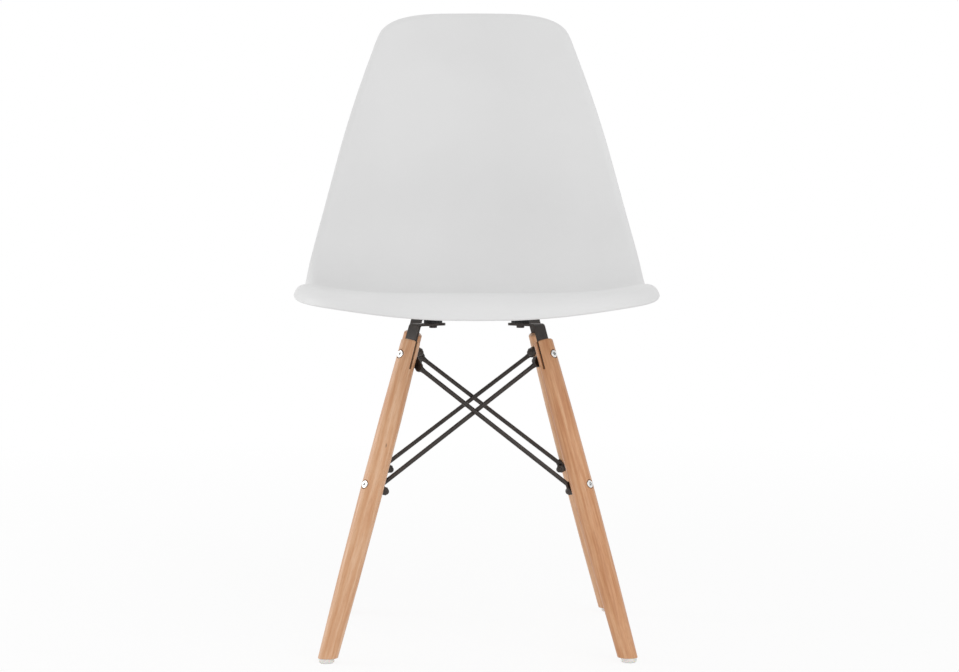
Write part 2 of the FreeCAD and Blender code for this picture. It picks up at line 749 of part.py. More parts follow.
    def brace(self, label, upper, lower, rank):
        """A rod from an upper bolt of one leg to the lower bolt of the next, flattened at both ends."""
        size = self.size
        plain = {name: value.value for name, value in size.items()}
        ends = [
            self.rod_end(upper, size["upper_bolt"], size[rank + "_upper_out"], -size[rank + "_upper_step"]),
            self.rod_end(lower, size["lower_bolt"], size[rank + "_lower_out"], size[rank + "_lower_step"]),
        ]
        ahead = (ends[1][1] - ends[0][1]).normalize()
        length = (ends[1][1] - ends[0][1]).Length
        rod = Part.makeCylinder(plain["rod_radius"], length + 8, ends[0][1] - ahead * 4, ahead)
        flats, proud, holes = [], [], []
        for hole, bend, outward in ends:
            flats.append(self.flat_end(hole, bend, outward))
            proud.append(Part.makeCylinder(40, 20, bend + outward * (plain["flat_wall"] / 2), outward))
            holes.append(Part.makeCylinder(plain["bolt_hole"] / 2, 20, hole - outward * 10, outward))
        piece = self.doc.addObject("Part::Feature", "rod_" + label)
        piece.Shape = rod.cut(proud).fuse(flats).cut(holes).removeSplitter().Solids[0]
        self.keep(piece, label, Placement())

    def flat_end(self, hole, bend, outward):
        """A flattened end: a flat strip with round ends from the bolt to the bend."""
        wall, radius = self.size["flat_wall"].value, self.size["flat_width"].value / 2
        along = (bend - hole).normalize() * radius
        across = outward.cross(along)
        base = outward * (-wall / 2)
        hole, bend = hole + base, bend + base
        outline = [
            Part.Arc(hole + across, hole - along, hole - across).toShape(),
            Part.makeLine(hole - across, bend - across),
            Part.Arc(bend - across, bend + along, bend + across).toShape(),
            Part.makeLine(bend + across, hole + across),
        ]
        return Part.Face(Part.Wire(outline)).extrude(outward * wall)


def build():
    """Make the whole chair and return its pieces."""
    doc = FreeCAD.newDocument("chair")
    size = make_sheet(doc)
    maker = PieceMaker(doc, size)
    maker.shell()
    for corner in CORNERS:
        maker.leg(corner)
        maker.glide(corner)
        maker.angle(corner)
        maker.pad(corner)
    for end in ("front", "rear"):
        maker.brace(end + "_brace_left", end + "_left", end + "_right", "outer")
        maker.brace(end + "_brace_right", end + "_right", end + "_left", "inner")
    doc.recompute()
    for thing in doc.Objects:
        if "Invalid" in thing.State or "Error" in thing.State:
            raise RuntimeError("%s is %s" % (thing.Name, thing.State))
    for piece in maker.pieces:
        if piece.Shape.isNull() or not piece.Shape.isValid() or len(piece.Shape.Solids) != 1:
            raise RuntimeError("%s has no single valid solid" % piece.Label)
    return maker.pieces


def main():
    """Build the chair and write each piece to its own file."""
    pieces = build()
    os.makedirs("parts", exist_ok=True)
    for piece in pieces:
        piece.Shape.exportStep("parts/%s.step" % piece.Label)
    print("%d pieces written" % len(pieces))


if __name__ == "__main__":
    main()
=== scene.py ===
"""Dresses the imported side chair: moulded shell, beech legs, steel rods and their fasteners.

Metres and degrees. +Z is up, -Y is the front, and left and right are as seen from the front.
"""

from __future__ import annotations

import json
import logging
import math
from collections.abc import Callable
from dataclasses import dataclass
from enum import Enum
from typing import Any

import bpy
from mathutils import Matrix, Vector

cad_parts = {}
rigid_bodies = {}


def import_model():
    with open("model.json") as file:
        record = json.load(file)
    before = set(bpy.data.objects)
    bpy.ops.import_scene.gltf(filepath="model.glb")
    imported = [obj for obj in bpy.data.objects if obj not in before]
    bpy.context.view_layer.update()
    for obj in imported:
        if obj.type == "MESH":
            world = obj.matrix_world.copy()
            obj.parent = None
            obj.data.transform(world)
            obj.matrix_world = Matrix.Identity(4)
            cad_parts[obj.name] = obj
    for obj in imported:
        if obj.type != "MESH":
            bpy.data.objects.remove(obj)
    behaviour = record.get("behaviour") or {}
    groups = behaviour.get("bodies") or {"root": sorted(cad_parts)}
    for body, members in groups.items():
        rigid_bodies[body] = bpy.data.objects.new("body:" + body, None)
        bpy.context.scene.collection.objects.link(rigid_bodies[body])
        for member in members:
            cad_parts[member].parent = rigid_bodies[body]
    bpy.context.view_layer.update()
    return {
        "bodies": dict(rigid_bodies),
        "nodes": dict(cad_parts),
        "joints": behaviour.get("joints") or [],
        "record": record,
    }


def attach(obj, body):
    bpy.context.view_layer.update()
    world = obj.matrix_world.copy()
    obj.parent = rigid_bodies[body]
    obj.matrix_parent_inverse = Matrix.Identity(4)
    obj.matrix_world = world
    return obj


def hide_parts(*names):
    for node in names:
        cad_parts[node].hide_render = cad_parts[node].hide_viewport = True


LOG = logging.getLogger("side_chair")
PHOTO_WIDTH = 959

Colour = tuple[float, float, float]
Triple = tuple[float, float, float]
Span = tuple[float, float]
Nodes = dict[str, bpy.types.Object]

WHITE: Colour = (1.0, 1.0, 1.0)
NO_TO_YES: Span = (0.0, 1.0)
NOISE_SPAN: Span = (0.3, 0.7)  # most of a noise value lies between these
WELD_DISTANCE = 2e-6
FACES_THAT_WAY = 0.9  # how nearly a face points along an axis to count as square to it


class Corner(Enum):
    """A corner of the chair: its name, and the signs of X and Y there."""

    FRONT_LEFT = ("front_left", -1, -1)
    FRONT_RIGHT = ("front_right", 1, -1)
    REAR_LEFT = ("rear_left", -1, 1)
    REAR_RIGHT = ("rear_right", 1, 1)

    @property
    def title(self) -> str:
        """The corner's name, as the frame's nodes have it."""
        return self.value[0]

    @property
    def side(self) -> int:
        """The sign of X."""
        return self.value[1]

    @property
    def end(self) -> int:
        """The sign of Y."""
        return self.value[2]


class Slot(Enum):
    """The record's material slots."""

    SHELL = "shell_plastic"
    WOOD = "beech"
    GLIDE = "glide_nylon"
    BRACKET = "bracket_steel"
    BRACE = "brace_steel"
    PAD = "pad_rubber"


class Pick(Enum):
    """What edit mode selects."""

    VERTICES = "VERT"
    FACES = "FACE"


class Join(Enum):
    """What one solid does to another."""

    ADD = "UNION"
    CUT = "DIFFERENCE"


def linear(red: int, green: int, blue: int) -> Colour:
    """Turn a display colour into the linear values that a shader takes, by the sRGB curve.

    Args:
        red: Display red, 0 to 255.
        green: Display green, 0 to 255.
        blue: Display blue, 0 to 255.

    Returns:
        The same colour in linear light, 0 to 1.
    """
    shares = [channel / 255 for channel in (red, green, blue)]
    return tuple(s / 12.92 if s <= 0.04045 else ((s + 0.055) / 1.055) ** 2.4 for s in shares)


# Shading


@dataclass(frozen=True)
class Pattern:
    """A noise pattern: cells for each metre, finer layers, their strength, and its stretch."""

    scale: float
    detail: float = 2.0
    roughness: float = 0.5
    stretch: Triple = (1.0, 1.0, 1.0)


class Wiring:
    """Adds nodes to a node tree and feeds their sockets."""

    def __init__(self, tree: bpy.types.NodeTree) -> None:
        """Start on a tree.

        Args:
            tree: The node tree.
        """
        self.tree = tree

    def node(self, kind: str, *ordered: Any, settings: dict[str, Any] | None = None,
             **sockets: Any) -> bpy.types.Node:
        """Add a node and fill its sockets.

        Args:
            kind: The node's type.
            *ordered: Values or outputs for its first sockets, in order.
            settings: Values for the node's own properties.
            **sockets: Values or outputs by socket name, with underscores for spaces.

        Returns:
            The new node.
        """
        made = self.tree.nodes.new(kind)
        for key, value in (settings or {}).items():
            setattr(made, key, value)
        for index, value in enumerate(ordered):
            self.feed(made, index, value)
        for key, value in sockets.items():
            self.feed(made, key.replace("_", " "), value)
        return made

    def feed(self, node: bpy.types.Node, socket: str | int, value: Any) -> None:
        """Set a socket to a value, or link an output to it.

        Args:
            node: The node that takes the value.
            socket: The socket's name or number.
            value: A number, a tuple or an output socket.
        """
        target = node.inputs[socket]
        if isinstance(value, bpy.types.NodeSocket):
            self.tree.links.new(value, target)
        elif isinstance(value, tuple) and len(value) == 3 and target.type == "RGBA":
            target.default_value = (*value, 1.0)
        else:
            target.default_value = value

    def between(self, value: bpy.types.NodeSocket, span: Span, reach: Span) -> bpy.types.NodeSocket:
        """Map a value from one range to another, and keep it inside.

        Args:
            value: The value.
            span: Start and end of its range.
            reach: What they become.

        Returns:
            The output that carries the new value.
        """
        made = self.node("ShaderNodeMapRange", Value=value, From_Min=span[0], From_Max=span[1],
                         To_Min=reach[0], To_Max=reach[1])
        return made.outputs["Result"]

    def seen(self) -> bpy.types.NodeSocket:
        """Whether a ray comes from the eye, from gloss or through glass.

        Returns:
            The output that carries 0 or 1.
        """
        path = self.node("ShaderNodeLightPath")
        value = path.outputs["Is Camera Ray"]
        for other in ("Is Glossy Ray", "Is Transmission Ray"):
            either = self.node("ShaderNodeMath", value, path.outputs[other],
                               settings={"operation": "MAXIMUM"})
            value = either.outputs["Value"]
        return value


class Recipe(Wiring):
    """One material's nodes, round a Principled shader."""

    def __init__(self, name: str) -> None:
        """Start a material.

        Args:
            name: The material's name.
        """
        self.material = bpy.data.materials.new(name)
        self.material.use_nodes = True
        super().__init__(self.material.node_tree)
        self.shader = self.tree.nodes["Principled BSDF"]

    def surface(self, **sockets: Any) -> None:
        """Fill the Principled shader's sockets.

        Args:
            **sockets: Values or outputs by socket name, with underscores for spaces.
        """
        for key, value in sockets.items():
            self.feed(self.shader, key.replace("_", " "), value)

    def place(self, turn: Matrix | None = None, stretch: Triple = (1.0, 1.0, 1.0)) -> bpy.types.NodeSocket:
        """Object coordinates, seen from a frame and stretched along its axes.

        Args:
            turn: The frame's own matrix, or None for the object's frame.
            stretch: How much the coordinates grow along each axis.

        Returns:
            The output that carries the coordinates.
        """
        source = self.node("ShaderNodeTexCoord").outputs["Object"]
        if turn is not None:
            inverse = turn.inverted()
            source = self.node("ShaderNodeMapping", Vector=source, Location=inverse.to_translation(),
                               Rotation=inverse.to_euler()).outputs["Vector"]
        return self.node("ShaderNodeMapping", Vector=source, Scale=stretch).outputs["Vector"]

    def noise(self, where: bpy.types.NodeSocket, pattern: Pattern) -> bpy.types.NodeSocket:
        """A noise value.

        Args:
            where: The coordinates.
            pattern: The noise's pattern.

        Returns:
            The output that carries the value.
        """
        made = self.node("ShaderNodeTexNoise", Vector=where, Scale=pattern.scale, Detail=pattern.detail,
                         Roughness=pattern.roughness)
        return made.outputs["Fac"]

    def grain(self, leg: Matrix, pattern: Pattern) -> bpy.types.NodeSocket:
        """A noise value whose stretch follows a leg.

        Args:
            leg: The leg's own frame.
            pattern: The noise's pattern.

        Returns:
            The output that carries the value.
        """
        return self.noise(self.place(leg, pattern.stretch), pattern)

    def ramp(self, value: bpy.types.NodeSocket, spots: tuple[float, ...],
             colours: tuple[Colour, ...]) -> bpy.types.NodeSocket:
        """Colours along a value.

        Args:
            value: The value, 0 to 1.
            spots: Where along the value each colour stands, in order.
            colours: The colours.

        Returns:
            The output that carries the colour.
        """
        made = self.node("ShaderNodeValToRGB", Fac=value)
        elements = made.color_ramp.elements
        while len(elements) < len(spots):
            elements.new(0.5)  # where it starts does not matter, it is moved below
        for element, spot, colour in zip(elements, spots, colours):
            element.position = spot
            element.color = (*colour, 1.0)
        return made.outputs["Color"]

    def blend(self, share: bpy.types.NodeSocket, colour: bpy.types.NodeSocket,
              over: Colour) -> bpy.types.NodeSocket:
        """Lay one colour over another.

        Args:
            share: How much of the upper colour shows, 0 to 1.
            colour: The colour below.
            over: The colour above.

        Returns:
            The output that carries the mixed colour.
        """
        made = self.node("ShaderNodeMix", share, settings={"data_type": "RGBA"})
        # The Mix node keeps its two colours in sockets 6 and 7, and their mixture in output 2.
        self.feed(made, 6, colour)
        self.feed(made, 7, over)
        return made.outputs[2]

    def relief(self, height: bpy.types.NodeSocket, strength: float, depth: float) -> None:
        """Give the surface a fine relief.

        Args:
            height: The relief's height, 0 to 1.
            strength: How much of it shows.
            depth: Its depth in metres.
        """
        bump = self.node("ShaderNodeBump", Strength=strength, Distance=depth, Height=height)
        self.surface(Normal=bump.outputs["Normal"])


@dataclass(frozen=True)
class Finish:
    """Two close tones in soft clouds, with a fine grit as relief.

    spots say where along the cloud the tones stand, gloss is the range of the roughness, relief is
    its strength and depth, and extras are further sockets of the shader with their values.
    """

    name: str
    low: Colour
    high: Colour
    spots: Span
    cloud: Pattern
    grit: Pattern
    gloss: Span
    relief: Span
    gloss_follows_grit: bool = False
    extras: tuple[tuple[str, float], ...] = ()

    def make(self) -> bpy.types.Material:
        """Build the material.

        Returns:
            The material.
        """
        recipe = Recipe(self.name)
        where = recipe.place()
        cloud = recipe.noise(where, self.cloud)
        grit = recipe.noise(where, self.grit)
        lead = grit if self.gloss_follows_grit else cloud
        recipe.surface(Base_Color=recipe.ramp(cloud, self.spots, (self.low, self.high)),
                       Roughness=recipe.between(lead, NOISE_SPAN, self.gloss), **dict(self.extras))
        recipe.relief(grit, *self.relief)
        return recipe.material


@dataclass(frozen=True)
class ShellPlastic(Finish):
    """Pale moulded plastic with a fine matte texture."""

    name: str = "shell_plastic"
    low: Colour = linear(226, 226, 226)
    high: Colour = linear(230, 230, 230)
    spots: Span = (0.35, 0.65)
    cloud: Pattern = Pattern(5.0, 3.0)
    grit: Pattern = Pattern(900.0, 3.0, 0.6)
    gloss: Span = (0.42, 0.52)
    relief: Span = (0.2, 0.0001)
    gloss_follows_grit: bool = True
    extras: tuple[tuple[str, float], ...] = (("Specular_IOR_Level", 0.4),)


@dataclass(frozen=True)
class CoatedSteel(Finish):
    """Steel under a thin brownish-black satin coat."""

    name: str = "coated_steel"
    low: Colour = linear(50, 44, 41)
    high: Colour = linear(66, 59, 54)
    spots: Span = (0.4, 0.75)
    cloud: Pattern = Pattern(60.0, 4.0)
    grit: Pattern = Pattern(1600.0)
    gloss: Span = (0.34, 0.48)
    relief: Span = (0.06, 0.00002)
    extras: tuple[tuple[str, float], ...] = (("Metallic", 0.35),)


@dataclass(frozen=True)
class BrightSteel(Finish):
    """Zinc-bright steel of the bolt heads."""

    name: str = "bright_steel"
    low: Colour = linear(222, 223, 224)
    high: Colour = linear(240, 240, 238)
    spots: Span = (0.35, 0.65)
    cloud: Pattern = Pattern(300.0, 3.0)
    grit: Pattern = Pattern(2500.0)
    gloss: Span = (0.2, 0.34)
    relief: Span = (0.05, 0.00003)
    extras: tuple[tuple[str, float], ...] = (("Metallic", 1.0),)


@dataclass(frozen=True)
class Rubber(Finish):
    """Dull black rubber of the pads."""

    name: str = "pad_rubber"
    low: Colour = linear(30, 29, 28)
    high: Colour = linear(44, 43, 41)
    spots: Span = (0.4, 0.8)
    cloud: Pattern = Pattern(120.0, 3.0)
    grit: Pattern = Pattern(1800.0)
    gloss: Span = (0.68, 0.82)
    relief: Span = (0.25, 0.0002)
    gloss_follows_grit: bool = True


@dataclass(frozen=True)
class Nylon(Finish):
    """Milky nylon of the glides."""

    name: str = "glide_nylon"
    low: Colour = linear(235, 233, 229)
    high: Colour = linear(243, 242, 239)
    spots: Span = (0.4, 0.6)
    cloud: Pattern = Pattern(180.0, 4.0)
    grit: Pattern = Pattern(1500.0)
    gloss: Span = (0.44, 0.32)
    relief: Span = (0.08, 0.00005)
    extras: tuple[tuple[str, float], ...] = (("Subsurface_Weight", 0.2), ("Subsurface_Scale", 0.004))


@dataclass(frozen=True)
class Beech:
    """Light beech with its grain along one leg, under a satin lacquer.

    The spans say where a pattern starts to show and where it shows most, and the shares how much.
    """

    dark: Colour = linear(204, 148, 106)
    middle: Colour = linear(215, 166, 126)
    light: Colour = linear(227, 185, 149)
    fleck: Colour = linear(168, 114, 78)
    knot: Colour = linear(96, 62, 40)
    bands: Pattern = Pattern(1.0, 5.0, 0.6, (240.0, 240.0, 14.0))
    band_spots: Triple = (0.34, 0.5, 0.68)
    rays: Pattern = Pattern(1.0, 3.0, 0.6, (700.0, 700.0, 90.0))
    ray_span: Span = (0.52, 0.7)
    ray_share: float = 0.4
    pores: Pattern = Pattern(1.0, stretch=(1500.0, 1500.0, 120.0))
    pore_span: Span = (0.6, 0.74)
    pore_share: float = 0.45
    knot_stretch: Triple = (900.0, 900.0, 230.0)
    knot_tilt: float = 12.0
    knot_span: Span = (0.0, 0.8)
    knot_share: float = 0.75
    gloss: Span = (0.46, 0.36)
    relief: Span = (0.2, 0.00012)
    lacquer: float = 0.12
    lacquer_roughness: float = 0.3

    def make(self, name: str, leg: Matrix, knot: Vector) -> bpy.types.Material:
        """Build the material for one leg.

        Args:
            name: The leg's name.
            leg: The leg's own frame, Z along the grain.
            knot: Where the leg's one small dark knot is, in that frame.

        Returns:
            The material.
        """
        recipe = Recipe("beech_" + name)
        bands = recipe.grain(leg, self.bands)
        colour = recipe.ramp(bands, self.band_spots, (self.dark, self.middle, self.light))
        rays = recipe.between(recipe.grain(leg, self.rays), self.ray_span, (0.0, self.ray_share))
        colour = recipe.blend(rays, colour, self.dark)
        pores = recipe.grain(leg, self.pores)
        marks = recipe.between(pores, self.pore_span, (0.0, self.pore_share))
        colour = recipe.blend(marks, colour, self.fleck)
        tilt = Matrix.Rotation(math.radians(self.knot_tilt), 4, "X")
        round_knot = recipe.place(leg @ Matrix.Translation(knot) @ tilt, self.knot_stretch)
        ball = recipe.node("ShaderNodeTexGradient", Vector=round_knot,
                           settings={"gradient_type": "SPHERICAL"})
        mark = recipe.between(ball.outputs["Fac"], self.knot_span, (0.0, self.knot_share))
        colour = recipe.blend(mark, colour, self.knot)
        recipe.surface(Base_Color=colour, Roughness=recipe.between(bands, NOISE_SPAN, self.gloss),
                       Coat_Weight=self.lacquer, Coat_Roughness=self.lacquer_roughness)
        recipe.relief(pores, *self.relief)
        return recipe.material


# Modelling


def choose(*objects: bpy.types.Object) -> None:
    """Select these objects alone, and make the last one active.

    Args:
        *objects: What the next operator acts on.
    """
    bpy.ops.object.select_all(action="DESELECT")
    for thing in objects:
        thing.select_set(True)
    bpy.context.view_layer.objects.active = objects[-1]


def settle() -> bpy.types.Object:
    """Put a new primitive's place into its mesh.

    Returns:
        The primitive.
    """
    thing = bpy.context.object
    choose(thing)
    bpy.ops.object.transform_apply(location=True, rotation=True, scale=True)
    return thing


def prism(sides: int, radius: float, length: float, middle: float) -> bpy.types.Object:
    """Add an upright cylinder on the Z axis.

    Args:
        sides: How many sides it has.
        radius: From the axis to its upright edges.
        length: How tall it is.
        middle: The height of its middle.

    Returns:
        The cylinder, with its place in its mesh.
    """
    bpy.ops.object.select_all(action="DESELECT")
    bpy.ops.mesh.primitive_cylinder_add(vertices=sides, radius=radius, depth=length,
                                        location=(0.0, 0.0, middle))
    return settle()


def hexagon(width: float, length: float, middle: float) -> bpy.types.Object:
    """Add an upright hexagon bar on the Z axis.

    Args:
        width: Across its flats.
        length: How tall it is.
        middle: The height of its middle.

    Returns:
        The bar, with its place in its mesh.
    """
    return prism(6, width / math.sqrt(3), length, middle)


def edit(thing: bpy.types.Object, pick: Pick) -> None:
    """Go into edit mode on one object with nothing selected.

    Args:
        thing: The object.
        pick: What is selected there.
    """
    choose(thing)
    bpy.ops.object.mode_set(mode="EDIT")
    bpy.ops.mesh.select_mode(type=pick.value)
    bpy.ops.mesh.select_all(action="DESELECT")


def leave() -> None:
    """Leave edit mode."""
    bpy.ops.object.mode_set(mode="OBJECT")


def pick_faces(thing: bpy.types.Object, wanted: Callable[[bpy.types.MeshPolygon], bool]) -> None:
    """In edit mode, select the faces that pass a test.

    Args:
        thing: The object in edit mode.
        wanted: Whether a face is picked.
    """
    bpy.ops.object.mode_set(mode="OBJECT")
    for polygon in thing.data.polygons:
        polygon.select = wanted(polygon)
    bpy.ops.object.mode_set(mode="EDIT")


def apply(thing: bpy.types.Object, kind: str, **settings: Any) -> None:
    """Add a modifier with these settings and apply it.

    Args:
        thing: The object.
        kind: The modifier's type.
        **settings: Values for the modifier.
    """
    modifier = thing.modifiers.new(kind.lower(), kind)
    for key, value in settings.items():
        setattr(modifier, key, value)
    choose(thing)
    bpy.ops.object.modifier_apply(modifier=modifier.name)


def combine(thing: bpy.types.Object, other: bpy.types.Object, way: Join) -> None:
    """Add a solid to a piece or cut it away, and remove that solid.

    Args:
        thing: The piece.
        other: The solid that is used up.
        way: Whether it is added or cut away.
    """
    apply(thing, "BOOLEAN", operation=way.value, solver="EXACT", object=other)
    discard(other)


def smooth(thing: bpy.types.Object, crease: float) -> None:
    """Shade smooth, but for edges sharper than an angle.

    Args:
        thing: The object.
        crease: The angle.
    """
    choose(thing)
    bpy.ops.object.shade_smooth_by_angle(angle=math.radians(crease))


def placed_copy(model: bpy.types.Object, name: str, matrix: Matrix) -> bpy.types.Object:
    """Copy a model with a mesh of its own, and put the place into the mesh.

    Args:
        model: The piece, modelled at the origin.
        name: The copy's name.
        matrix: Where it goes.

    Returns:
        The copy.
    """
    copy = bpy.data.objects.new(name, model.data.copy())
    bpy.context.scene.collection.objects.link(copy)
    copy.data.transform(matrix)
    copy.data.update()
    return copy


def merged_copy(node: bpy.types.Object, name: str) -> bpy.types.Object:
    """Copy a frame node's mesh and join its loose triangles.

    Args:
        node: The frame's node.
        name: The copy's name.

    Returns:
        The copy, with no material.
    """
    copy = bpy.data.objects.new(name, node.data.copy())
    bpy.context.scene.collection.objects.link(copy)
    copy.data.materials.clear()
    edit(copy, Pick.VERTICES)
    bpy.ops.mesh.select_all(action="SELECT")
    bpy.ops.mesh.remove_doubles(threshold=WELD_DISTANCE)
    bpy.ops.mesh.customdata_custom_splitnormals_clear()
    leave()
    return copy


def discard(thing: bpy.types.Object) -> None:
    """Remove a model or cutter that has done its work."""
    bpy.data.objects.remove(thing)


def finish_piece(piece: bpy.types.Object, material: bpy.types.Material, slot: Slot | None,
                 *nodes: str) -> None:
    """Dress a finished piece and tell the frame about it.

    Args:
        piece: The piece, with its place in its mesh.
        material: Its finish.
        slot: The record's slot, where it has one; not used.
        *nodes: The frame's nodes that it stands for.
    """
    piece.data.materials.clear()
    piece.data.materials.append(material)
    if nodes:
        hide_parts(*nodes)
    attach(piece, "root")
    LOG.info("%s: %d faces", piece.name, len(piece.data.polygons))


def dress_node(nodes: Nodes, node: str, name: str, crease: float, material: bpy.types.Material,
               slot: Slot) -> None:
    """Stand a smooth, dressed copy in a frame node's place.

    Args:
        nodes: The frame's nodes by name.
        node: The node's name.
        name: The piece's name.
        crease: Edges sharper than this stay sharp.
        material: The piece's finish.
        slot: The record's slot.
    """
    piece = merged_copy(nodes[node], name)
    smooth(piece, crease)
    finish_piece(piece, material, slot, node)


# Where things stand


@dataclass(frozen=True)
class Crossing:
    """Where a bolt crosses a leg: the height along the leg, and the leg's radius there."""

    height: float
    radius: float


@dataclass(frozen=True)
class Stance:
    """Where each leg stands, how it leans, and where it is bolted.

    forward is how far the middle of the feet lies in front of the chair's middle, bearing is the
    way a leg leans, from straight sideways, and tab_screw is how far inwards of the foot the seat
    screw stands. flat_wall and flat_gap are a flattened rod end's wall and its clearance to the leg.
    """

    foot_x: float = 0.183
    foot_y: float = 0.184
    forward: float = 0.030
    lean: float = 19.06
    bearing: float = 40.42
    tab_screw: float = 0.1688
    upper: Crossing = Crossing(0.3872, 0.01238)
    lower: Crossing = Crossing(0.2201, 0.01390)
    flat_wall: float = 0.0025
    flat_gap: float = 0.0001

    def corner(self, corner: Corner) -> Matrix:
        """The corner's frame: origin under the foot, X outwards, Z up.

        Args:
            corner: The corner.

        Returns:
            The frame's matrix.
        """
        angle = math.radians(self.bearing)
        heading = math.atan2(math.sin(angle) * corner.end, math.cos(angle) * corner.side)
        where = Vector((self.foot_x * corner.side, self.foot_y * corner.end - self.forward, 0.0))
        return Matrix.Translation(where) @ Matrix.Rotation(heading, 4, "Z")

    def leg(self, corner: Corner) -> Matrix:
        """The leg's frame: the same origin, Z along the leg, X outwards."""
        return self.corner(corner) @ Matrix.Rotation(math.radians(-self.lean), 4, "Y")

    def bolt(self, corner: Corner, height: float) -> Matrix:
        """A bolt's frame: origin on the leg's axis, Z outwards."""
        along = Matrix.Translation(Vector((0.0, 0.0, height)))
        return self.leg(corner) @ along @ Matrix.Rotation(math.radians(90), 4, "Y")

    def screw(self, corner: Corner, height: float) -> Matrix:
        """The frame of a seat screw at a height: Z up."""
        return self.corner(corner) @ Matrix.Translation(Vector((-self.tab_screw, 0.0, height)))


# Sub-assemblies


@dataclass
class SeatShell:
    """The one-piece seat and back."""

    crease: float = 38.0
    normal_weight: int = 60
    finish: ShellPlastic = ShellPlastic()

    def build(self, nodes: Nodes) -> None:
        """Make the smooth shell.

        Args:
            nodes: The frame's nodes by name.
        """
        shell = merged_copy(nodes["seat_shell"], "shell_seat_and_back")
        smooth(shell, self.crease)
        apply(shell, "WEIGHTED_NORMAL", keep_sharp=True, weight=self.normal_weight)
        finish_piece(shell, self.finish.make(), Slot.SHELL, "seat_shell")


@dataclass
class Legs:
    """The four turned legs and the glides under them."""

    stance: Stance
    leg_crease: float = 24.0
    glide_crease: float = 50.0
    pale_wood: Beech = Beech()
    warm_wood: Beech = Beech(linear(188, 127, 82), linear(205, 149, 105), linear(218, 169, 128))
    knot_place: Triple = (0.0058, 0.0122, 0.2724)
    nylon: Nylon = Nylon()

    def build(self, nodes: Nodes) -> None:
        """Make the legs and glides.

        Args:
            nodes: The frame's nodes by name.
        """
        milky = self.nylon.make()
        for corner in Corner:
            title = corner.title
            board = self.pale_wood if corner.side == corner.end else self.warm_wood
            wood = board.make(title, self.stance.leg(corner), Vector(self.knot_place))
            dress_node(nodes, "leg_" + title, "wooden_leg_" + title, self.leg_crease, wood, Slot.WOOD)
            dress_node(nodes, "foot_glide_" + title, "glide_" + title, self.glide_crease, milky, Slot.GLIDE)


@dataclass
class Brackets:
    """The bent steel bars and the rubber pads on their tabs."""

    crease: float = 30.0
    steel: CoatedSteel = CoatedSteel()
    rubber: Rubber = Rubber()

    def build(self, nodes: Nodes) -> None:
        """Make the brackets and pads.

        Args:
            nodes: The frame's nodes by name.
        """
        coat = self.steel.make()
        black = self.rubber.make()
        for corner in Corner:
            title = corner.title
            dress_node(nodes, "leg_bracket_" + title, "bracket_" + title, self.crease, coat, Slot.BRACKET)
            dress_node(nodes, "rubber_pad_" + title, "pad_" + title, self.crease, black, Slot.PAD)


